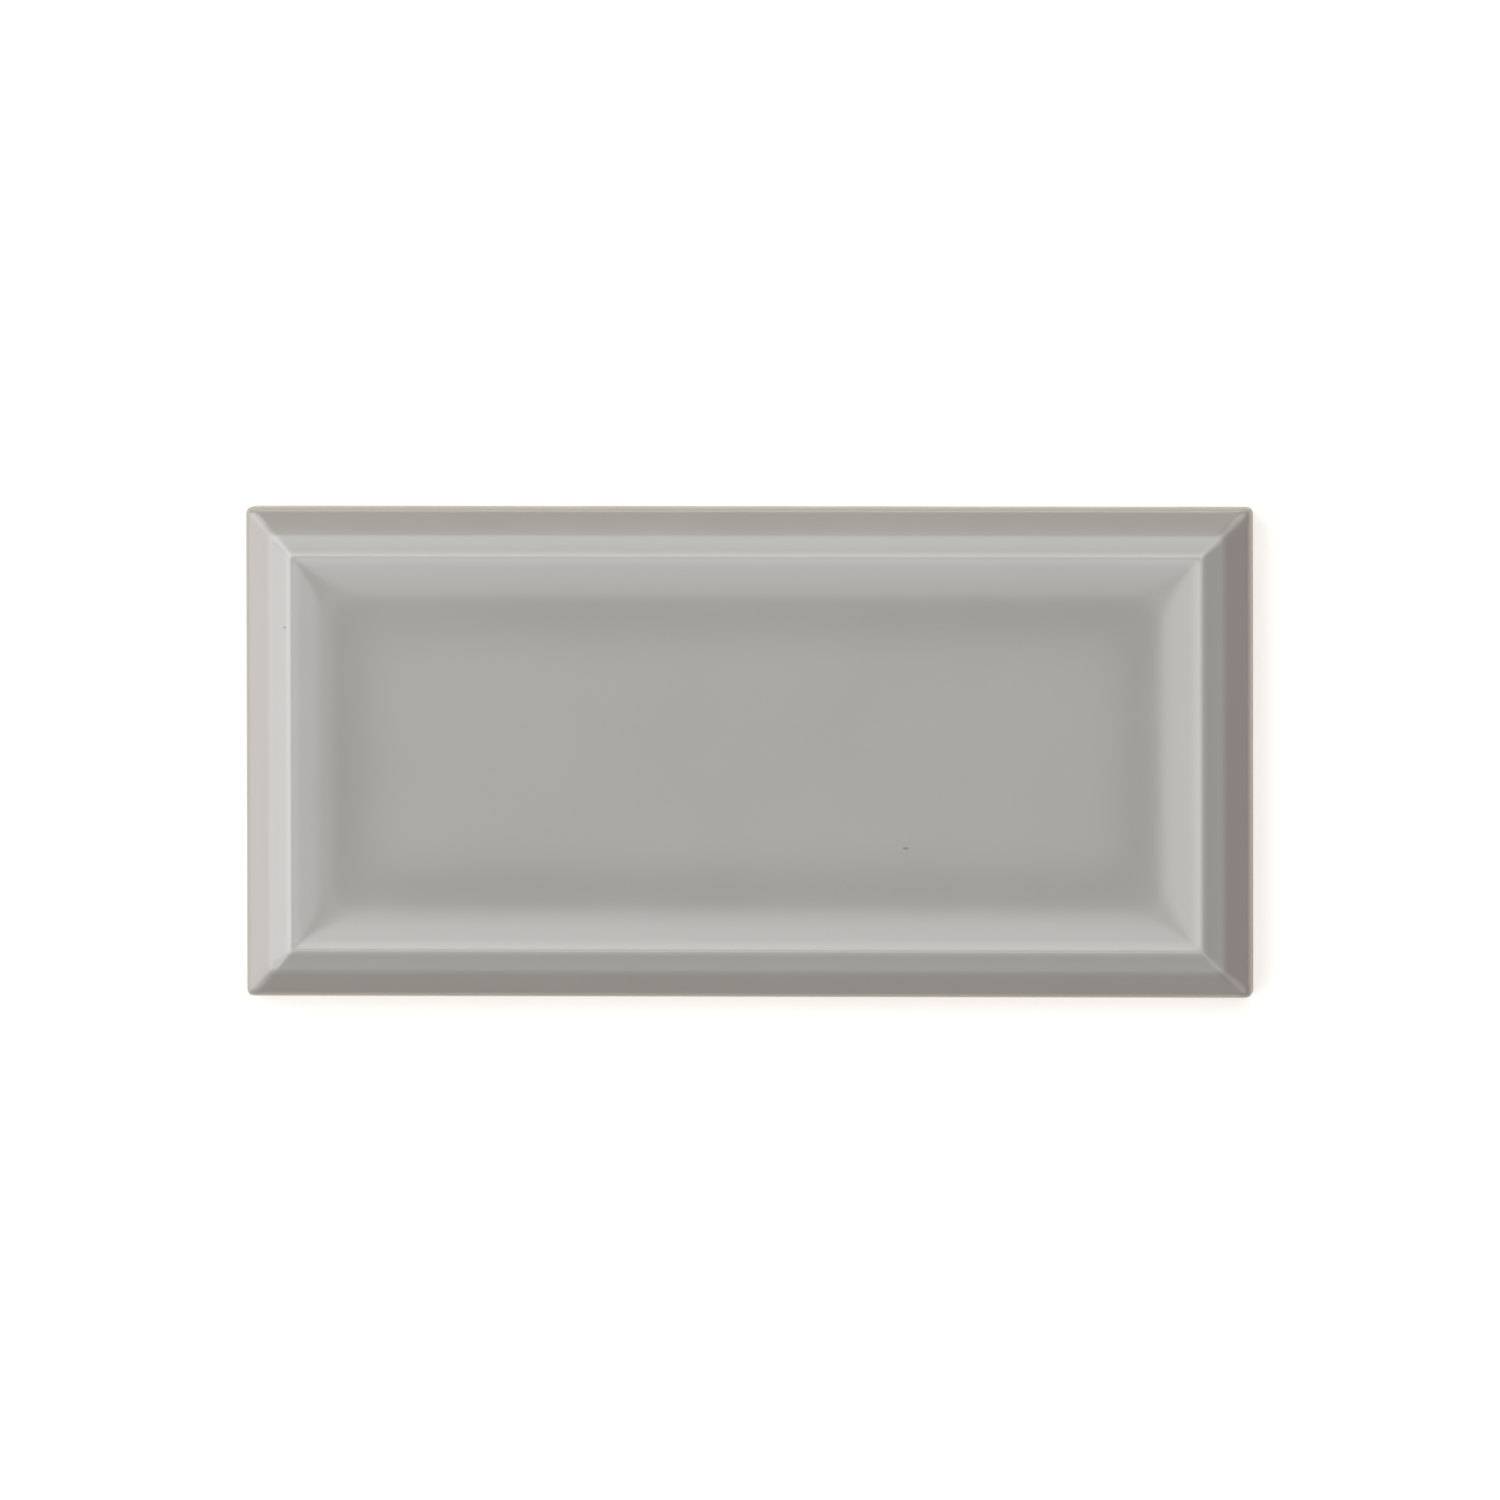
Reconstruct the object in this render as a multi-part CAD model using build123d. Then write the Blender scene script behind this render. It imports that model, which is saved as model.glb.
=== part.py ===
from build123d import *
import os

# Framed ceramic wall tile, lying on its back with the glazed face up.
# All sizes are in millimetres. X runs along the tile's length, Y across it and Z out of the face.
# The origin is at the middle of the back.

# Outline
TILE_LENGTH = 150.0
TILE_WIDTH = 73.0
CORNER_RADIUS = 1.0

# Plain side of the tile, up to where the moulding starts
EDGE_HEIGHT = 5.2
EDGE_RADIUS = 2.5
BACK_BEVEL = 0.4

# Outer band of the frame, rising inwards from the edge with a slightly hollow face
OUTER_BAND_WIDTH = 4.0
OUTER_BAND_RISE = 3.2
OUTER_BAND_HOLLOW = 0.10

# Inner band, less steep, from the step up to the crest
STEP_RADIUS = 1.2
INNER_BAND_WIDTH = 3.2
INNER_BAND_RISE = 1.75
INNER_BAND_HOLLOW = 0.06
CREST_RADIUS = 0.45

# Cove that falls from the crest and runs out level into the flat field
COVE_WIDTH = 9.8
COVE_DEPTH = 1.9

# Keying pockets pressed into the back, in rows and columns
KEY_LENGTH = 9.0
KEY_GAP = 2.5
KEY_DEPTH = 0.6
KEY_CORNER_RADIUS = 1.2
KEY_TAPER = 20.0
KEY_MARGIN = 4.5


def side_section():
    """Section at one side of the tile, in to its middle line: X is the way in, Y the height."""
    edge = Vector(0, EDGE_HEIGHT)
    step = edge + Vector(OUTER_BAND_WIDTH, OUTER_BAND_RISE)
    crest = step + Vector(INNER_BAND_WIDTH, INNER_BAND_RISE)
    field = crest + Vector(COVE_WIDTH, -COVE_DEPTH)
    middle = Vector(TILE_WIDTH / 2, field.Y)

    outer_band = SagittaArc(edge, step, -OUTER_BAND_HOLLOW)
    inner_band = SagittaArc(step, crest, -INNER_BAND_HOLLOW)
    cove = TangentArc(field, crest, tangent=(-1, 0))
    rest = Polyline(field, middle, (middle.X, 0), (BACK_BEVEL, 0), (0, BACK_BEVEL), edge)
    section = make_face([outer_band, inner_band, cove, *rest.edges()])

    for corner, radius in ((edge, EDGE_RADIUS), (step, STEP_RADIUS), (crest, CREST_RADIUS)):
        section = fillet(section.vertices().sort_by_distance(corner)[0], radius)
    return section


def mitred_side(length):
    """The section along a side of this length, cut off at 45 degrees at both ends."""
    end = length / 2
    start_plane = Plane(origin=(-end, 0, 0), x_dir=(0, 1, 0), z_dir=(1, 0, 0))
    side = extrude(start_plane * side_section(), length)
    side = split(side, bisect_by=Plane(origin=(-end, 0, 0), z_dir=(1, -1, 0)), keep=Keep.TOP)
    return split(side, bisect_by=Plane(origin=(end, 0, 0), z_dir=(-1, -1, 0)), keep=Keep.TOP)


def moulded_face():
    """The four sides joined at their mitres like a picture frame, with the field between them."""
    long_side = Pos(0, -TILE_WIDTH / 2, 0) * mitred_side(TILE_LENGTH)
    short_side = Rot(0, 0, 90) * Pos(0, -TILE_LENGTH / 2, 0) * mitred_side(TILE_WIDTH)
    half_turn = Rot(0, 0, 180)
    return long_side + short_side + half_turn * long_side + half_turn * short_side


def outline_block():
    """Block with the tile's rounded plan corners, taller than the tile."""
    height = EDGE_HEIGHT + OUTER_BAND_RISE + INNER_BAND_RISE
    return extrude(RectangleRounded(TILE_LENGTH, TILE_WIDTH, CORNER_RADIUS), height)


def key_count(length):
    """How many keying pockets fit along a side of this length."""
    return max(1, int((length - 2 * KEY_MARGIN + KEY_GAP) // (KEY_LENGTH + KEY_GAP)))


def keying_pockets():
    """Shallow tapered pockets over the back that hold the adhesive."""
    pitch = KEY_LENGTH + KEY_GAP
    pocket = extrude(
        RectangleRounded(KEY_LENGTH, KEY_LENGTH, KEY_CORNER_RADIUS), KEY_DEPTH, taper=KEY_TAPER
    )
    return GridLocations(pitch, pitch, key_count(TILE_LENGTH), key_count(TILE_WIDTH)) * pocket


def wall_tile():
    """The whole tile, one fired piece."""
    return (moulded_face() & outline_block()) - keying_pockets()


os.makedirs("parts", exist_ok=True)
export_step(wall_tile(), "parts/wall_tile.step")
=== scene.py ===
"""Framed wall tile in a grey glaze, lying face up on a pale studio floor.

The tile is one closed mesh. Rings run from the edge of the back up the side, over the frame and
down the cove. Two sheets on the same plan lines close it: the flat field, and the back with its
keying pockets. The tile's sizes are in millimetres, and those of the finishes in metres.
"""
import logging
import math
from dataclasses import dataclass, field
from enum import Enum, IntEnum

import bpy
import numpy as np
from mathutils import Matrix, Vector


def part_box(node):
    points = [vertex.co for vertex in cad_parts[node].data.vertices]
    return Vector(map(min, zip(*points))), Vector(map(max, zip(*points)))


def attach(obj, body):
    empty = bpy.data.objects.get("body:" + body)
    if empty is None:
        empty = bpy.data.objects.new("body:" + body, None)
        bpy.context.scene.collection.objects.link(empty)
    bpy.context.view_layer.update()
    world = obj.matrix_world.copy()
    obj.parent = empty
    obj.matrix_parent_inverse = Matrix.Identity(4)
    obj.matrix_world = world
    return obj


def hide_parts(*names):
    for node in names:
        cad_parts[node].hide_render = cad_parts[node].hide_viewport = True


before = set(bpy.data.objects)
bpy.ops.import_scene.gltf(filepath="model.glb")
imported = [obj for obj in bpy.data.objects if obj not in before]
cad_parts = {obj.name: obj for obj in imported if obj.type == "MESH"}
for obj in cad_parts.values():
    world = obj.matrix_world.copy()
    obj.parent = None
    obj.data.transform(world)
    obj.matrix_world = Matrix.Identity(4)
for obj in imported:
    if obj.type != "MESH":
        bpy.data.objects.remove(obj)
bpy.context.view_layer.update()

Array = np.ndarray
Span = tuple[float, float]
Colour = tuple[float, float, float]
Point = tuple[float, float, float]
Socket = bpy.types.NodeSocket

LOG = logging.getLogger("wall_tile")
MM = 0.001
WHITE = (1.0, 1.0, 1.0, 1.0)
CORNER_POWER = 3
NEXT_TO_NOTHING = 1e-9
INNER = (slice(1, -1), slice(1, -1))


class Finish(IntEnum):
    """Material slots of the tile's mesh."""

    GLAZE = 0
    BISCUIT = 1


# Section, pockets and plan


@dataclass(frozen=True)
class SideSection:
    """Section across one side of the tile, in millimetres.

    It runs up the plain side, over two slightly hollow bands to the crest, and down a cove that
    is level where it meets the field. Softness is how far the glaze rounds each corner.
    """

    edge_height: float = 5.2
    outer_band_width: float = 4.0
    outer_band_rise: float = 3.2
    outer_band_hollow: float = 0.10
    inner_band_width: float = 3.2
    inner_band_rise: float = 1.75
    inner_band_hollow: float = 0.06
    cove_width: float = 9.8
    cove_depth: float = 1.9
    field_run: float = 19.4
    edge_softness: float = 0.70
    step_softness: float = 0.28
    crest_softness: float = 0.25
    field_softness: float = 0.80
    cavity_reach: float = 6.0
    curve_points: int = 81
    sample: float = 0.025
    run_per_radian: float = 12.0

    @property
    def crest_inset(self) -> float:
        """Way in from the edge to the crest."""
        return self.outer_band_width + self.inner_band_width

    @property
    def field_inset(self) -> float:
        """Way in from the edge to where the cove meets the field."""
        return self.crest_inset + self.cove_width

    def sharp(self) -> tuple[Array, Array, Array]:
        """The section before it is softened.

        Each band is a straight rise less a parabola that is deepest half way. The cove is an arc of
        a circle that has its lowest point where the field starts.

        Returns:
            Way in and height of evenly spaced points, and the run along the section to each.
        """
        u = np.linspace(0.0, 1.0, self.curve_points)
        step_height = self.edge_height + self.outer_band_rise
        crest_height = step_height + self.inner_band_rise
        hollow = 4.0 * u * (1.0 - u)
        outer = self.edge_height + self.outer_band_rise * u - self.outer_band_hollow * hollow
        inner = step_height + self.inner_band_rise * u - self.inner_band_hollow * hollow
        radius = (self.cove_width**2 + self.cove_depth**2) / (2.0 * self.cove_depth)
        to_field = (1.0 - u) * self.cove_width
        cove = crest_height - self.cove_depth + radius - np.sqrt(radius**2 - to_field**2)
        inset = np.concatenate([
            [0.0],
            self.outer_band_width * u,
            self.outer_band_width + self.inner_band_width * u[1:],
            self.crest_inset + self.cove_width * u[1:],
            [self.field_inset + self.field_run],
        ])
        height = np.concatenate([[0.0], outer, inner[1:], cove[1:], cove[-1:]])
        run = np.concatenate([[0.0], np.cumsum(np.hypot(np.diff(inset), np.diff(height)))])
        even = np.arange(0.0, run[-1], self.sample)
        return np.interp(even, run, inset), np.interp(even, run, height), even

    def softened(self) -> tuple[Array, Array, Array, Array]:
        """The section as the glaze leaves it, with its corners rounded.

        Each point becomes the mean of its neighbours, weighted by a bell curve as wide as the
        softness there. How far the mean over a wide stretch lies above the section is the cavity:
        positive in hollows and negative on crests. The glaze uses it as the mask of painted shade
        in hollows and of a painted highlight on crests.

        Returns:
            Way in, height, run along the section, and cavity.
        """
        inset, height, run = self.sharp()
        corners = [0.0, self.outer_band_width, self.crest_inset, self.field_inset]
        at_run = np.interp(corners, inset[inset > 0.0], run[inset > 0.0])
        widths = [self.edge_softness, self.step_softness, self.crest_softness, self.field_softness]
        near = self._bell(run, np.interp(run, at_run, widths))
        wide = self._bell(run, np.full(run.shape, self.cavity_reach))
        soft_inset, soft_height = near @ inset, near @ height
        return np.maximum(soft_inset, 0.0), soft_height, run, wide @ soft_height - soft_height

    @staticmethod
    def _bell(run: Array, width: Array) -> Array:
        """Weights of all points for the mean at each point, a bell curve of this width along the run.

        Args:
            run: Run along the section to each point.
            width: Width of the curve at each point.

        Returns:
            One row of weights for each point.
        """
        weight = np.exp(-0.5 * ((run[None, :] - run[:, None]) / width[:, None]) ** 2)
        return weight / weight.sum(axis=1, keepdims=True)

    def stations(self, lowest: float, count: int) -> tuple[Array, Array, Array]:
        """Points of the softened section, closer together where it turns sharply.

        Args:
            lowest: Height on the plain side where the points start.
            count: How many points to give, up to a little inside the field.

        Returns:
            Way in, height and cavity at each point.
        """
        inset, height, run, cavity = self.softened()
        used = (run >= lowest) & (inset <= self.field_inset + self.field_softness)
        turn = np.abs(np.gradient(np.unwrap(np.arctan2(np.gradient(height), np.gradient(inset)))))
        pace = np.cumsum(self.sample / self.run_per_radian + turn[used])
        index = np.arange(used.sum())
        pick = np.interp(np.linspace(pace[0], pace[-1], count), pace, index)
        return tuple(np.interp(pick, index, values[used]) for values in (inset, height, cavity))

    def field_cavity(self, inset: Array) -> Array:
        """Cavity over the field, by the way in from the edge."""
        along, _, _, cavity = self.softened()
        return np.interp(inset, along[along > 0.0], cavity[along > 0.0])


def round_corners(x: Array, y: Array, half_x: Array, half_y: Array, radius: Array) -> tuple[Array, Array]:
    """Moves points of a rectangle's edge onto the same rectangle with rounded corners.

    A corner is a quarter of a curve whose two offsets, each raised to the corner power, add up
    to a constant. It leaves the sides more gently than a circle does, and cuts off as much of
    the corner as the circle of the given radius.

    Args:
        x: Places along the rectangle.
        y: Places across the rectangle.
        half_x: Half the rectangle's length at each point.
        half_y: Half the rectangle's width at each point.
        radius: Corner radius at each point.

    Returns:
        The moved places.
    """
    circle_cut = 1.0 - 0.5 ** (1.0 / 2.0)
    curve_cut = 1.0 - 0.5 ** (1.0 / CORNER_POWER)
    reach = np.minimum(radius * circle_cut / curve_cut, np.minimum(half_x, half_y))
    centre_x = np.clip(x, reach - half_x, half_x - reach)
    centre_y = np.clip(y, reach - half_y, half_y - reach)
    off_x, off_y = x - centre_x, y - centre_y
    powers = np.abs(off_x) ** CORNER_POWER + np.abs(off_y) ** CORNER_POWER
    scale = reach / np.maximum(powers ** (1.0 / CORNER_POWER), NEXT_TO_NOTHING)
    return centre_x + off_x * scale, centre_y + off_y * scale


@dataclass(frozen=True)
class KeyGrid:
    """Keying pockets pressed into the back in rows and columns, in millimetres.

    Mesh lines follow each side of a pocket inwards: one on its rim, one at the foot of its
    tapered wall, and the floor lines at their distances from the rim.
    """

    length: float = 9.0
    gap: float = 2.5
    depth: float = 0.6
    corner_radius: float = 1.2
    taper: float = 20.0
    margin: float = 4.5
    floor_lines: tuple[float, ...] = (0.5, 0.8, 1.15, 1.6)
    rim_slack: float = 0.01

    @property
    def wall_run(self) -> float:
        """How far the pocket's tapered wall runs inwards."""
        return self.depth * math.tan(math.radians(self.taper))

    def centres(self, side: float) -> Array:
        """Middles of as many pockets as fit along a side.

        Args:
            side: Length of the side.

        Returns:
            Places of the middles, evenly spaced about the side's own middle.
        """
        pitch = self.length + self.gap
        count = max(1, int((side - 2.0 * self.margin + self.gap) // pitch))
        return (np.arange(count) - (count - 1) / 2.0) * pitch

    def lines(self, side: float) -> Array:
        """Mesh lines that follow the pockets' rims and walls along a side of this length."""
        out = self.length / 2.0 - np.array([0.0, self.wall_run, *self.floor_lines])
        return (self.centres(side)[:, None] + np.concatenate([-out, out[::-1]])).ravel()

    def pressed(self, x: Array, y: Array, length: float, width: float) -> Array:
        """The back of the tile over a grid of points, with its pockets.

        In each pocket the grid's lines are squares inside squares. They get rounded corners whose
        radius shrinks by as much as they lie inside the rim. The back rises from the bonding plane
        at the rim to the pocket's floor at the end of the wall's run.

        Args:
            x: Places along the tile.
            y: Places across the tile.
            length: The tile's length.
            width: The tile's width.

        Returns:
            The points of the back.
        """
        middle_x = self._nearest(x, self.centres(length))
        middle_y = self._nearest(y, self.centres(width))
        off_x, off_y = x - middle_x, y - middle_y
        square = np.maximum(np.abs(off_x), np.abs(off_y))
        inside_by = self.length / 2.0 - square
        radius = np.maximum(self.corner_radius - inside_by, 0.0)
        round_x, round_y = round_corners(off_x, off_y, square, square, radius)
        in_pocket = inside_by > -self.rim_slack
        moved_x = np.where(in_pocket, middle_x + round_x, x)
        moved_y = np.where(in_pocket, middle_y + round_y, y)
        rise = self.depth * np.clip(inside_by / self.wall_run, 0.0, 1.0)
        return np.stack([moved_x, moved_y, rise], -1)

    @staticmethod
    def _nearest(places: Array, centres: Array) -> Array:
        """The nearest of the centres to each place."""
        return centres[np.abs(places[..., None] - centres).argmin(axis=-1)]


class Spacing(Enum):
    """How the plan lines follow a ring that lies further in."""

    SPREAD = "lines near a corner keep their distance from it, and the others close up"
    HOLD = "lines over the pockets stay, and those of the border close up"


@dataclass(frozen=True)
class PlanLines:
    """Lines of the tile's plan that every ring and sheet of its mesh shares, in millimetres."""

    length: float
    width: float
    keys: KeyGrid
    corner_zone: float = 9.0
    corner_lines: int = 16

    def over(self, side: float) -> Array:
        """Lines over a side of this length.

        They are the pockets' lines, and on both sides of them a border whose lines draw
        together towards the end with the square of their number.

        Args:
            side: Length of the side.

        Returns:
            Places of the lines, from end to end.
        """
        pockets = self.keys.lines(side)
        border = side / 2.0 - pockets.max()
        ends = side / 2.0 - border * (np.arange(self.corner_lines) / self.corner_lines) ** 2
        return np.sort(np.concatenate([-ends, pockets, ends]))

    def drawn_in(self, side: float, inset: Array, spacing: Spacing) -> Array:
        """Places of a side's lines on rings that lie further in.

        Each half of the lines is stretched in two pieces, one up to a joint and one from there to
        the ring. The joint is the last pocket's edge, or it moves in with the ring.

        Args:
            side: Length of the side.
            inset: Way in of each ring.
            spacing: How the lines follow the ring.

        Returns:
            One row of places for each ring.
        """
        lines, half = self.over(side), side / 2.0
        inset = np.atleast_1d(inset)[:, None]
        if spacing is Spacing.HOLD:
            joint = self.keys.lines(side).max()
            moved = np.full(inset.shape, joint)
        else:
            joint = half - self.corner_zone
            moved = joint - inset
        out = np.abs(lines)[None, :]
        border = moved + (out - joint) * (half - inset - moved) / (half - joint)
        return np.sign(lines)[None, :] * np.where(out < joint, out * moved / joint, border)

    def rings(self, inset: Array, radius: Array, spacing: Spacing) -> tuple[Array, Array]:
        """Closed rings at these ways in, each a rectangle with rounded corners.

        Args:
            inset: Way in of each ring.
            radius: Corner radius of each ring.
            spacing: How the lines follow the rings.

        Returns:
            Places along and across the tile, one row for each ring, anticlockwise from above.
        """
        xs = self.drawn_in(self.length, inset, spacing)
        ys = self.drawn_in(self.width, inset, spacing)
        half_x, half_y = xs[:, -1:], ys[:, -1:]
        along, across = xs[:, :-1], ys[:, :-1]
        right, far = np.broadcast_to(half_x, across.shape), np.broadcast_to(half_y, along.shape)
        x = np.hstack([along, right, -along, -right])
        y = np.hstack([-far, across, far, -across])
        return round_corners(x, y, half_x, half_y, radius[:, None])

    def sheet(self, inset: float, radius: float, spacing: Spacing) -> tuple[Array, Array, Array]:
        """Grid of points that fills a ring with smaller and smaller rings.

        Args:
            inset: The ring's way in.
            radius: The ring's corner radius. Over held lines it shrinks by as much as a ring lies
                further in.
            spacing: How the lines follow the ring.

        Returns:
            Places along and across the tile, and the way in from the ring, as grids.
        """
        along = self.drawn_in(self.length, inset, spacing)[0]
        across = self.drawn_in(self.width, inset, spacing)[0]
        x, y = np.meshgrid(along, across)
        half_x, half_y = x.max(), y.max()
        further = np.minimum(half_x - np.abs(x), half_y - np.abs(y))
        shrink = further if spacing is Spacing.HOLD else np.zeros(further.shape)
        x, y = round_corners(x, y, half_x - further, half_y - further, np.maximum(radius - shrink, 0.0))
        return x, y, further


# Finishes


class ShaderTree:
    """Node tree of one material, with short calls for the nodes the finishes use.

    The Mix node's sockets are known by their numbers, because each kind of mix has its own under
    the same names.
    """

    mix_share: int = 0
    mix_first: int = 6
    mix_second: int = 7
    mix_result: int = 2
    spot_fade: Span = (0.45, 1.25)

    def __init__(self, name: str) -> None:
        """Starts a material with only a Principled shader and its output.

        Args:
            name: The material's name.
        """
        self.material = bpy.data.materials.new(name)
        self.material.use_nodes = True
        self.tree = self.material.node_tree
        self.shader = self.tree.nodes["Principled BSDF"]
        self.place = self.node("ShaderNodeTexCoord").outputs["Object"]

    def node(self, kind: str, **settings: object) -> bpy.types.Node:
        """Adds a node.

        Args:
            kind: The node's type.
            **settings: Properties to set on it.

        Returns:
            The node.
        """
        made = self.tree.nodes.new(kind)
        for name, value in settings.items():
            setattr(made, name, value)
        return made

    def join(self, source: Socket | float | tuple, target: Socket) -> None:
        """Links a socket to another, or sets the target's own value.

        Args:
            source: A socket, or a value.
            target: The socket that takes it.
        """
        if isinstance(source, bpy.types.NodeSocket):
            self.tree.links.new(source, target)
        else:
            target.default_value = source

    def feed(self, name: str, source: Socket | float | tuple) -> None:
        """Gives an input of the shader a socket or a value."""
        self.join(source, self.shader.inputs[name])

    def attribute(self, name: str) -> Socket:
        """Value of a named attribute of the mesh."""
        return self.node("ShaderNodeAttribute", attribute_name=name).outputs["Fac"]

    def noise(self, size: float, detail: float = 2.0, roughness: float = 0.5) -> Socket:
        """Soft noise from 0 to 1.

        Args:
            size: Width of its lumps in metres.
            detail: How many finer layers lie over them.
            roughness: Strength of each layer against the one before.

        Returns:
            The noise.
        """
        made = self.node("ShaderNodeTexNoise", noise_dimensions="3D")
        self.join(self.place, made.inputs["Vector"])
        self.join(1.0 / size, made.inputs["Scale"])
        self.join(detail, made.inputs["Detail"])
        self.join(roughness, made.inputs["Roughness"])
        return made.outputs["Fac"]

    def span(self, value: Socket, over: Span, onto: Span = (0.0, 1.0)) -> Socket:
        """Carries a value smoothly from one range to another and holds it at the ends.

        Args:
            value: The value.
            over: Start and end of its range.
            onto: Result at the start and at the end.

        Returns:
            The result.
        """
        made = self.node("ShaderNodeMapRange", interpolation_type="SMOOTHSTEP")
        self.join(value, made.inputs["Value"])
        for name, number in zip(("From Min", "From Max", "To Min", "To Max"), (*over, *onto)):
            self.join(number, made.inputs[name])
        return made.outputs["Result"]

    def math(self, operation: str, a: Socket | float, b: Socket | float) -> Socket:
        """One step of arithmetic.

        Args:
            operation: Its name.
            a: First number.
            b: Second number.

        Returns:
            The result.
        """
        made = self.node("ShaderNodeMath", operation=operation)
        self.join(a, made.inputs[0])
        self.join(b, made.inputs[1])
        return made.outputs["Value"]

    def blend(self, share: Socket | float, a: Socket | Colour, b: Socket | Colour) -> Socket:
        """Mixes two colours.

        Args:
            share: How much of the second there is, from 0 to 1.
            a: First colour.
            b: Second colour.

        Returns:
            The mixed colour.
        """
        made = self.node("ShaderNodeMix", data_type="RGBA")
        self.join(share, made.inputs[self.mix_share])
        for source, number in ((a, self.mix_first), (b, self.mix_second)):
            opaque = source if isinstance(source, bpy.types.NodeSocket) else (*source, 1.0)
            self.join(opaque, made.inputs[number])
        return made.outputs[self.mix_result]

    def spot(self, centre: Point, half_size: Point) -> Socket:
        """Mask that is 1 inside a small ellipsoid and fades out round it.

        Args:
            centre: Its middle in metres.
            half_size: Its half axes in metres.

        Returns:
            The mask.
        """
        shifted = self.node("ShaderNodeVectorMath", operation="SUBTRACT")
        self.join(self.place, shifted.inputs[0])
        self.join(centre, shifted.inputs[1])
        sized = self.node("ShaderNodeVectorMath", operation="DIVIDE")
        self.join(shifted.outputs["Vector"], sized.inputs[0])
        self.join(half_size, sized.inputs[1])
        length = self.node("ShaderNodeVectorMath", operation="LENGTH")
        self.join(sized.outputs["Vector"], length.inputs[0])
        return self.span(length.outputs["Value"], self.spot_fade, (1.0, 0.0))

    def bump(self, height: Socket, depth: float, strength: float, under: Socket | None = None) -> Socket:
        """Normal of a fine relief.

        Args:
            height: The relief, from 0 to 1.
            depth: Its depth in metres.
            strength: How much of it shows.
            under: Normal that it lies over, if there is one.

        Returns:
            The normal.
        """
        made = self.node("ShaderNodeBump")
        self.join(strength, made.inputs["Strength"])
        self.join(depth, made.inputs["Distance"])
        self.join(height, made.inputs["Height"])
        if under is not None:
            self.join(under, made.inputs["Normal"])
        return made.outputs["Normal"]


@dataclass(frozen=True)
class Mottle:
    """Patches of a second tone that come in where noise of this size rises through a span."""

    size: float
    over: Span
    share: float = 1.0
    detail: float = 2.0

    def mask(self, tree: ShaderTree) -> Socket:
        """How much of the second tone there is, from 0 to the patches' share."""
        return tree.span(tree.noise(self.size, self.detail), self.over, (0.0, self.share))


@dataclass(frozen=True)
class Speck:
    """Small dark fault in the glaze, in millimetres from the tile's middle."""

    x: float
    y: float
    half_length: float
    half_width: float
    height: float = 8.8
    half_height: float = 2.0


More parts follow.
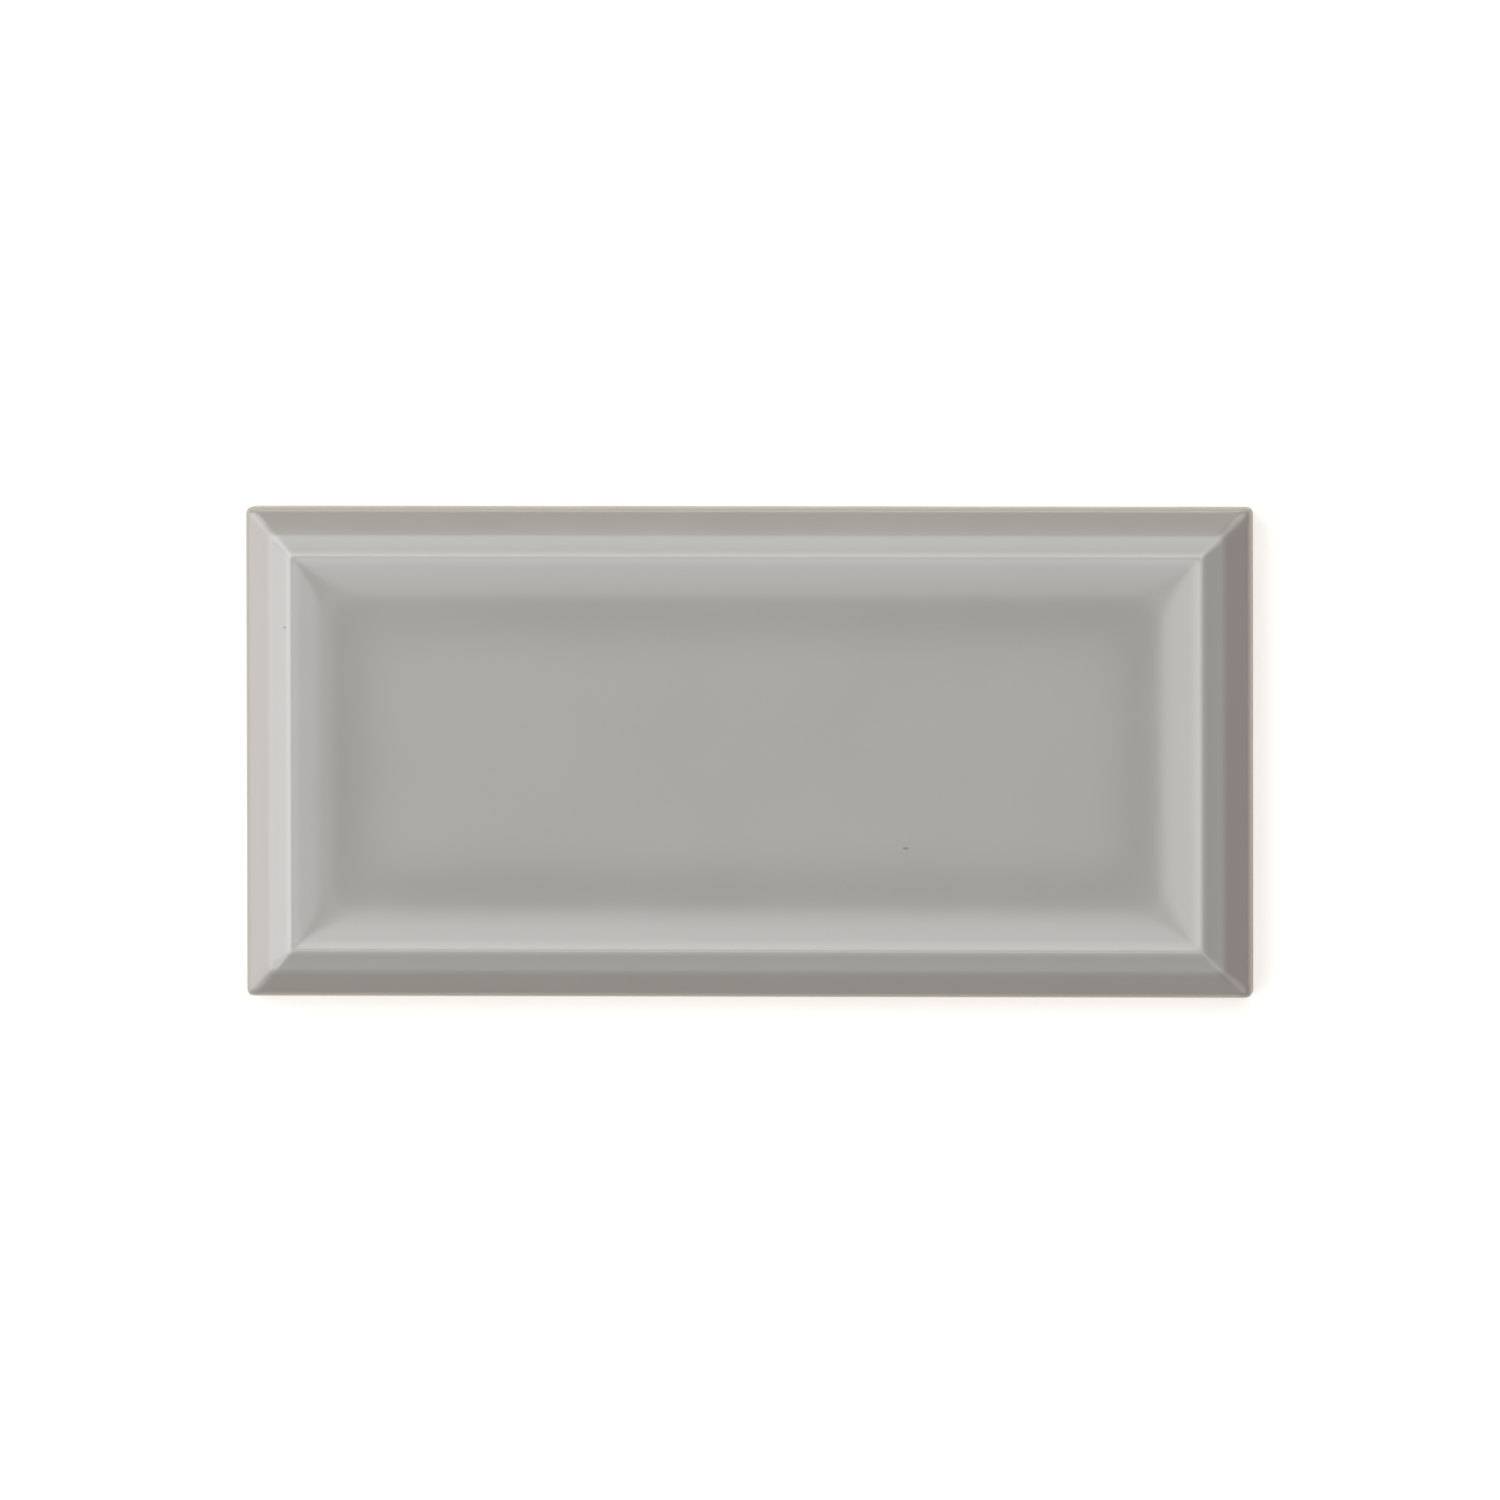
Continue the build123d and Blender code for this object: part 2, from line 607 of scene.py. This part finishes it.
@dataclass(frozen=True)
class GreyGlaze:
    """Glossy grey glaze, with painted shade in hollows over deeper glaze, a painted highlight on the
    crest over thinner glaze, and a painted warm reflection that makes it warmer and darker towards the
    rim.

    The mesh gives the cavity in millimetres, positive in hollows and negative on crests, and the
    way out from the crest, 0, to the rim, 1. Each span says over which of these values a tone comes in.
    """

    body: Colour = (0.308, 0.291, 0.265)
    # Painted shade: the darker tone of the hollows and of the field next to the cove, over deeper glaze.
    pooled_and_shaded: Colour = (0.270, 0.256, 0.231)
    # Pale tone: a painted highlight along the crest over thinner glaze, and the pale patches of the
    # clouding.
    pale_and_highlight: Colour = (0.358, 0.339, 0.310)
    # Painted reflection: the warmer, darker tone of the outer band and the rim stands for a brown surface
    # reflected in the glaze.
    outer: Colour = (0.265, 0.241, 0.213)
    rim: Colour = (0.265, 0.230, 0.188)
    speck: Colour = (0.140, 0.130, 0.115)
    pooled_and_shaded_over: Span = (0.0, 0.25)
    # Spans of the painted crest highlight: on crests by the cavity, and just inside the crest.
    highlight_over: Span = (-0.9, -1.75)
    highlight_inside: Span = (0.16, 0.03)
    outer_reflection_over: Span = (0.40, 0.56)
    rim_reflection_over: Span = (0.86, 1.0)
    cloud: Mottle = Mottle(0.030, (0.35, 0.75), share=0.08, detail=3.0)
    roughness: float = 0.24
    roughness_wander: float = 0.02
    gloss_size: float = 0.012
    gloss_over: Span = (0.3, 0.7)
    index_of_refraction: float = 1.65
    peel_size: float = 0.0045
    peel_detail: float = 1.5
    peel_depth: float = 0.00002
    peel_strength: float = 0.25
    pit_roughness: float = 0.3
    pit_depth: float = 0.00008
    pit_strength: float = 0.6
    specks: tuple[Speck, ...] = (Speck(23.7, -14.1, 0.62, 0.24), Speck(-68.8, 18.7, 0.20, 0.20))

    def material(self) -> bpy.types.Material:
        """Makes the glaze, with a faint orange peel and a dull pit at each speck.

        Returns:
            The material.
        """
        tree = ShaderTree("grey_glaze")
        faults = self.faults(tree)
        tree.feed("Base Color", tree.blend(faults, self.tone(tree), self.speck))
        wander = (self.roughness - self.roughness_wander, self.roughness + self.roughness_wander)
        gloss = tree.span(tree.noise(self.gloss_size), self.gloss_over, wander)
        tree.feed("Roughness", tree.math("ADD", gloss, tree.math("MULTIPLY", faults, self.pit_roughness)))
        peel = tree.bump(tree.noise(self.peel_size, self.peel_detail), self.peel_depth, self.peel_strength)
        level = tree.math("SUBTRACT", 1.0, faults)
        tree.feed("Normal", tree.bump(level, self.pit_depth, self.pit_strength, peel))
        tree.feed("IOR", self.index_of_refraction)
        return tree.material

    def tone(self, tree: ShaderTree) -> Socket:
        """Colour of the glaze by its cavity and its place on the frame: painted shade in hollows, a
        painted highlight on the crest and a painted warm reflection towards the rim.

        Args:
            tree: Tree to build it in.

        Returns:
            The colour.
        """
        cavity, out = tree.attribute("cavity"), tree.attribute("rim")
        # Painted shade in the hollows, over deeper glaze, comes in with the cavity.
        tone = tree.blend(tree.span(cavity, self.pooled_and_shaded_over), self.body, self.pooled_and_shaded)
        # Painted highlight: a paler tone along the crest, over thinner glaze.
        crest = tree.math("MULTIPLY", tree.span(cavity, self.highlight_over), tree.span(out, self.highlight_inside))
        tone = tree.blend(crest, tone, self.pale_and_highlight)
        tone = tree.blend(self.cloud.mask(tree), tone, self.pale_and_highlight)
        # Painted warm reflection on the outer band and the rim.
        tone = tree.blend(tree.span(out, self.outer_reflection_over), tone, self.outer)
        return tree.blend(tree.span(out, self.rim_reflection_over), tone, self.rim)

    def faults(self, tree: ShaderTree) -> Socket:
        """Mask of the dark specks.

        Args:
            tree: Tree to build it in.

        Returns:
            The mask.
        """
        mask: Socket | float = 0.0
        for speck in self.specks:
            centre = (speck.x * MM, speck.y * MM, speck.height * MM)
            half_size = (speck.half_length * MM, speck.half_width * MM, speck.half_height * MM)
            mask = tree.math("MAXIMUM", mask, tree.spot(centre, half_size))
        return mask


@dataclass(frozen=True)
class BareBiscuit:
    """Unglazed buff clay of the sides and back, with fine grog and a dusty, rough skin."""

    body: Colour = (0.340, 0.240, 0.158)
    dark: Colour = (0.255, 0.170, 0.105)
    pale: Colour = (0.460, 0.370, 0.280)
    cloud: Mottle = Mottle(0.014, (0.35, 0.70), detail=4.0)
    dust: Mottle = Mottle(0.0011, (0.56, 0.74), share=0.45)
    grog: Mottle = Mottle(0.0016, (0.66, 0.76), share=0.7, detail=1.0)
    grain_size: float = 0.0006
    grain_detail: float = 4.0
    grain_roughness: float = 0.65
    grain_over: Span = (0.2, 0.8)
    grain_depth: float = 0.00006
    grain_strength: float = 0.7
    roughness: Span = (0.82, 0.96)

    def material(self) -> bpy.types.Material:
        """Makes the biscuit: clouded clay under pale dust, dark grog and a fine grain.

        Returns:
            The material.
        """
        tree = ShaderTree("bare_biscuit")
        tone = tree.blend(self.cloud.mask(tree), self.body, self.dark)
        tone = tree.blend(self.dust.mask(tree), tone, self.pale)
        tone = tree.blend(self.grog.mask(tree), tone, self.dark)
        grain = tree.noise(self.grain_size, self.grain_detail, self.grain_roughness)
        tree.feed("Base Color", tone)
        tree.feed("Roughness", tree.span(grain, self.grain_over, self.roughness))
        tree.feed("Normal", tree.bump(grain, self.grain_depth, self.grain_strength))
        return tree.material


# The tile


@dataclass(frozen=True)
class Wave:
    """One wave of the glaze's lower end: turns along and across the tile in radians a millimetre."""

    along: float
    across: float
    start: float
    share: float

    def at(self, x: Array, y: Array) -> Array:
        """The wave's share of the wander at each point, a sine of its place."""
        return self.share * np.sin(self.along * x + self.across * y + self.start)


@dataclass
class WallTile:
    """The tile: one closed mesh of rings round the section, closed by the field and the back."""

    length: float
    width: float
    section: SideSection = field(default_factory=SideSection)
    keys: KeyGrid = field(default_factory=KeyGrid)
    glaze: GreyGlaze = field(default_factory=GreyGlaze)
    biscuit: BareBiscuit = field(default_factory=BareBiscuit)
    corner_radius: float = 1.0
    band_corner_radius: float = 1.4
    step_corner_radius: float = 1.1
    crest_corner_radius: float = 0.40
    field_corner_radius: float = 5.0
    back_corner_radius: float = 0.5
    back_bevel: float = 0.4
    glaze_end: float = 3.4
    glaze_wander: float = 0.20
    glaze_waves: tuple[Wave, ...] = (
        Wave(0.11, 0.0, 0.4, 0.5),
        Wave(-0.31, 0.23, 0.0, 0.3),
        Wave(0.67, 0.59, 0.0, 0.2),
    )
    lip_depth: float = 0.05
    lip_height: float = 0.30
    lip_steps: int = 6
    section_start: float = 4.05
    section_rings: int = 92
    sharp_angle: float = 35.0

    def __post_init__(self) -> None:
        """Lays out the plan lines and the points of the section."""
        self.plan = PlanLines(self.length, self.width, self.keys)
        self.inset, self.height, self.cavity = self.section.stations(self.section_start, self.section_rings)

    def corner(self, inset: Array) -> Array:
        """Corner radius of a ring, tight on the crest and open at the outline and the field.

        Args:
            inset: Way in of each ring.

        Returns:
            Radius of each ring's corners.
        """
        section = self.section
        radii = {
            0.0: self.corner_radius,
            0.5 * section.outer_band_width: self.band_corner_radius,
            section.outer_band_width: self.step_corner_radius,
            section.crest_inset: self.crest_corner_radius,
            section.field_inset: self.field_corner_radius,
        }
        return np.interp(inset, list(radii.keys()), list(radii.values()))

    def glaze_line(self, x: Array, y: Array) -> Array:
        """Height of the glaze's lower end round the sides.

        A few long and short waves along the outline are added up, so that the line wanders the
        way a sprayed and wiped glaze does.

        Args:
            x: Places along the tile.
            y: Places across the tile.

        Returns:
            Height at each point.
        """
        return self.glaze_end + self.glaze_wander * sum(wave.at(x, y) for wave in self.glaze_waves)

    def bare_rings(self) -> Array:
        """The two rings of the back's bevel.

        Returns:
            Points of the rings, from the back up.
        """
        inset = self.lip_depth + np.array([self.back_bevel, 0.0])
        height = np.array([0.0, self.back_bevel])
        return self._side_rings(inset, height[:, None])

    def lip_rings(self) -> Array:
        """Rings of the glaze's rolled lip.

        Below the glaze's end the side lies back by the lip's depth. The lip turns out from the
        bare side to the glazed side along a quarter of an ellipse.

        Returns:
            Points of the rings, from the glaze's end up.
        """
        turn = np.linspace(0.0, math.pi / 2.0, self.lip_steps)[:, None]
        rings = self._side_rings(self.lip_depth * (1.0 - np.sin(turn[:, 0])), np.zeros(turn.shape))
        end = self.glaze_line(rings[..., 0], rings[..., 1])
        rings[..., 2] = end + self.lip_height * (1.0 - np.cos(turn))
        return rings

    def _side_rings(self, inset: Array, height: Array) -> Array:
        """Level rings on the plain side, over the pockets' lines.

        Args:
            inset: Way in of each ring.
            height: Height of each ring, as a column.

        Returns:
            Points of the rings.
        """
        radius = np.maximum(self.corner_radius - inset, self.back_corner_radius)
        x, y = self.plan.rings(inset, radius, Spacing.HOLD)
        return np.stack([x, y, np.broadcast_to(height, x.shape)], -1)

    def face_rings(self) -> Array:
        """Rings of the section, carried round the tile's plan.

        Returns:
            Points of the rings, from the glazed side to the field.
        """
        x, y = self.plan.rings(self.inset, self.corner(self.inset), Spacing.SPREAD)
        return np.stack([x, y, np.broadcast_to(self.height[:, None], x.shape)], -1)

    def field_sheet(self) -> tuple[Array, Array]:
        """The flat field inside the last ring of the face.

        Returns:
            Points of the sheet, and the cavity at each.
        """
        x, y, further = self.plan.sheet(self.inset[-1], self.field_corner_radius, Spacing.SPREAD)
        points = np.stack([x, y, np.full(x.shape, self.height[-1])], -1)
        return points, self.section.field_cavity(self.inset[-1] + further)

    def back_sheet(self) -> Array:
        """The back inside the first ring of the side, with its keying pockets.

        Returns:
            Points of the sheet.
        """
        x, y, _ = self.plan.sheet(self.lip_depth + self.back_bevel, self.back_corner_radius, Spacing.HOLD)
        return self.keys.pressed(x, y, self.length, self.width)

    def build(self) -> bpy.types.Object:
        """Makes the tile's mesh object.

        The vertices are numbered ring by ring from the back up, then over the inside of the field
        and over the inside of the back. The faces of the back, and those from a bare ring up to
        the next ring, are biscuit.

        Returns:
            The tile, at the origin, with its finishes on.
        """
        bare, lip, face = self.bare_rings(), self.lip_rings(), self.face_rings()
        top, top_cavity = self.field_sheet()
        under = self.back_sheet()
        rings = np.concatenate([bare, lip, face])
        parts = (rings, top[INNER], under[INNER])
        count, around = rings.shape[:2]
        numbers = np.arange(count * around).reshape(count, around)
        top_numbers = self._fill(numbers[-1], top.shape[:2], numbers.size)
        under_numbers = self._fill(numbers[0], under.shape[:2], top_numbers.max() + 1)
        wall = self._quads(np.hstack([numbers, numbers[:, :1]]))
        upper, lower = self._quads(top_numbers), self._quads(under_numbers)[:, ::-1]
        is_bare = np.arange(count - 1).repeat(around) < len(bare)
        finishes = np.concatenate([
            np.where(is_bare, Finish.BISCUIT, Finish.GLAZE),
            np.full(len(upper), Finish.GLAZE),
            np.full(len(lower), Finish.BISCUIT),
        ])
        points = np.concatenate([part.reshape(-1, 3) for part in parts])
        mesh = self._mesh(points, np.concatenate([wall, upper, lower]), finishes)

        below_face = count - len(face)
        way_out = np.clip(1.0 - self.inset / self.section.crest_inset, 0.0, 1.0)
        # Cavity of each vertex: the mask of the painted shade in hollows and of the painted highlight on
        # crests.
        ring_cavity = np.concatenate([np.zeros(below_face), self.cavity]).repeat(around)
        ring_out = np.concatenate([np.ones(below_face), way_out]).repeat(around)
        in_field, in_back = top_cavity[INNER].ravel(), np.zeros(under[INNER][..., 0].size)
        self._attribute(mesh, "cavity", np.concatenate([ring_cavity, in_field, in_back]))
        self._attribute(mesh, "rim", np.concatenate([ring_out, np.zeros(in_field.size), in_back]))
        tile = bpy.data.objects.new("tile", mesh)
        bpy.context.scene.collection.objects.link(tile)
        return tile

    def _mesh(self, points: Array, faces: Array, finishes: Array) -> bpy.types.Mesh:
        """Makes a smooth mesh with both finishes, sharp only past the sharp angle.

        Args:
            points: The vertices, in millimetres.
            faces: Four vertex numbers for each face.
            finishes: Finish of each face.

        Returns:
            The mesh.
        """
        mesh = bpy.data.meshes.new("tile")
        mesh.from_pydata((points * MM).tolist(), [], faces.tolist())
        mesh.polygons.foreach_set("material_index", finishes.astype(np.int32))
        mesh.polygons.foreach_set("use_smooth", np.ones(len(mesh.polygons), bool))
        mesh.set_sharp_from_angle(angle=math.radians(self.sharp_angle))
        mesh.materials.append(self.glaze.material())
        mesh.materials.append(self.biscuit.material())
        return mesh

    @staticmethod
    def _fill(ring: Array, shape: tuple[int, int], first: int) -> Array:
        """Vertex numbers of a sheet whose border is a ring.

        Args:
            ring: Numbers of the ring's vertices, in its own order.
            shape: Rows and columns of the sheet.
            first: Number of the sheet's first inner vertex.

        Returns:
            The numbers as a grid.
        """
        rows, columns = shape
        along, across = columns - 1, rows - 1
        index = np.empty(shape, int)
        index[0, :-1] = ring[:along]
        index[:-1, -1] = ring[along : along + across]
        index[-1, :0:-1] = ring[along + across : 2 * along + across]
        index[:0:-1, 0] = ring[2 * along + across :]
        index[INNER] = first + np.arange((rows - 2) * (columns - 2)).reshape(rows - 2, columns - 2)
        return index

    @staticmethod
    def _quads(index: Array) -> Array:
        """Four-sided faces between the rows and columns of a grid of vertex numbers."""
        corners = (index[:-1, :-1], index[:-1, 1:], index[1:, 1:], index[1:, :-1])
        return np.stack(corners, -1).reshape(-1, 4)

    @staticmethod
    def _attribute(mesh: bpy.types.Mesh, name: str, values: Array) -> None:
        """Stores one number for each vertex under a name that the shaders read."""
        mesh.attributes.new(name, "FLOAT", "POINT").data.foreach_set("value", values.astype(np.float32))


# The studio


@dataclass(frozen=True)
class SoftBox:
    """Rectangular soft light aimed at the tile.

    Azimuth runs anticlockwise from the tile's right as it is seen in the picture, and lift is
    the angle above the floor. Brightness is the panel's own radiance. Sizes are in metres.
    """

    name: str
    azimuth: float
    lift: float
    size: tuple[float, float]
    brightness: float
    distance: float = 1.1
    colour: Colour = (0.93, 0.955, 1.0)

    def place(self) -> None:
        """Hangs the light in the scene."""
        light = bpy.data.lights.new(self.name, "AREA")
        light.shape = "RECTANGLE"
        light.size, light.size_y = self.size
        light.energy = self.brightness * math.pi * self.size[0] * self.size[1]
        light.color = self.colour
        lamp = bpy.data.objects.new(self.name, light)
        turn, up = math.radians(self.azimuth), math.radians(self.lift)
        way = Vector((math.cos(up) * math.cos(turn), math.cos(up) * math.sin(turn), math.sin(up)))
        facing = way.to_track_quat("Z", "Y").to_matrix().to_4x4()
        lamp.matrix_world = Matrix.Translation(way * self.distance) @ facing
        bpy.context.scene.collection.objects.link(lamp)


@dataclass(frozen=True)
class PaleFloor:
    """Plain pale floor just under the tile, lit through from below so that shadows stay faint.

    Its half size is in metres, and its drop below the tile in millimetres.
    """

    half_size: float = 3.0
    drop: float = 0.03
    tone: Colour = (0.60, 0.56, 0.50)
    roughness: float = 0.9
    glow: float = 0.48

    def place(self) -> None:
        """Lays the floor."""
        s, z = self.half_size, -self.drop * MM
        mesh = bpy.data.meshes.new("floor")
        mesh.from_pydata([(-s, -s, z), (s, -s, z), (s, s, z), (-s, s, z)], [], [(0, 1, 2, 3)])
        tree = ShaderTree("pale_floor")
        tree.feed("Base Color", (*self.tone, 1.0))
        tree.feed("Roughness", self.roughness)
        tree.feed("Emission Color", WHITE)
        tree.feed("Emission Strength", self.glow)
        mesh.materials.append(tree.material)
        floor = bpy.data.objects.new("floor", mesh)
        bpy.context.scene.collection.objects.link(floor)


@dataclass(frozen=True)
class Camera:
    """Long-lens camera nearly straight above the tile, with the tile's far side at the picture's top.

    The leans are in degrees from straight above. The distance and the far clip are in metres, and
    the width and centre of what it sees are in millimetres at the aim's height.
    """

    lean_right: float = 4.0
    lean_up: float = 2.9
    distance: float = 4.5
    far_clip: float = 20.0
    picture_width: float = 223.25
    centre: tuple[float, float] = (0.2, 0.3)
    aim_height: float = 4.0
    sensor: float = 36.0

    def place(self) -> None:
        """Hangs the camera and makes it the scene's own."""
        data = bpy.data.cameras.new("camera")
        data.sensor_width = self.sensor
        data.lens = self.sensor * self.distance / (self.picture_width * MM)
        data.clip_end = self.far_clip
        camera = bpy.data.objects.new("camera", data)
        aim = Vector((*self.centre, self.aim_height)) * MM
        lean = (math.tan(math.radians(self.lean_right)), math.tan(math.radians(self.lean_up)), 1.0)
        back = Vector(lean).normalized()
        along_tile = (Vector((1.0, 0.0, 0.0)) - back * back.x).normalized()
        across_tile = Vector((0.0, 1.0, 0.0)).cross(back).normalized()
        right = (along_tile + across_tile).normalized()
        turn = Matrix((right, back.cross(right), back)).transposed().to_4x4()
        camera.matrix_world = Matrix.Translation(aim + back * self.distance) @ turn
        bpy.context.scene.collection.objects.link(camera)
        bpy.context.scene.camera = camera


@dataclass(frozen=True)
class Studio:
    """Floor, soft lights and camera."""

    floor: PaleFloor = field(default_factory=PaleFloor)
    camera: Camera = field(default_factory=Camera)
    ambient: float = 0.05
    lights: tuple[SoftBox, ...] = (
        SoftBox("left_window", 180.0, 17.5, (1.4, 0.80), 2.71),
        SoftBox("left_panel", 180.0, 59.0, (1.5, 0.56), 1.60),
        SoftBox("far_strip", 90.0, 2.2, (1.4, 0.07), 8.2),
        SoftBox("far_panel", 85.0, 52.0, (0.95, 0.84), 1.84),
        SoftBox("right_panel", 0.0, 61.0, (0.66, 0.46), 2.14),
        SoftBox("near_panel", -90.0, 49.0, (1.5, 0.27), 2.04),
        SoftBox("near_ceiling", -90.0, 62.0, (1.3, 0.23), 1.21),
        SoftBox("far_left_fill", 135.0, 36.0, (0.75, 0.60), 3.2),
        SoftBox("near_left_fill", 225.0, 30.0, (0.70, 0.42), 1.65),
        SoftBox("far_right_fill", 45.0, 38.0, (0.70, 0.70), 1.50),
        SoftBox("near_right_fill", -45.0, 28.0, (0.75, 0.32), 1.40),
    )

    def place(self) -> None:
        """Sets up the floor, lights, background and camera."""
        self.floor.place()
        for light in self.lights:
            light.place()
        world = bpy.data.worlds.new("studio")
        world.use_nodes = True
        background = world.node_tree.nodes["Background"]
        background.inputs["Color"].default_value = WHITE
        background.inputs["Strength"].default_value = self.ambient
        bpy.context.scene.world = world
        bpy.context.scene.view_settings.view_transform = "Standard"
        self.camera.place()


def main() -> None:
    """Builds the tile on its frame, and the studio round it."""
    logging.basicConfig(level=logging.INFO, format="%(message)s")
    low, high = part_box("wall_tile")
    tile = WallTile((high.x - low.x) / MM, (high.y - low.y) / MM).build()
    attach(tile, "root")
    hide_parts("wall_tile")
    LOG.info("tile: %d faces", len(tile.data.polygons))
    studio = Studio()
    studio.place()
    LOG.info("studio: %d lights", len(studio.lights))


if __name__ == "__main__":
    main()
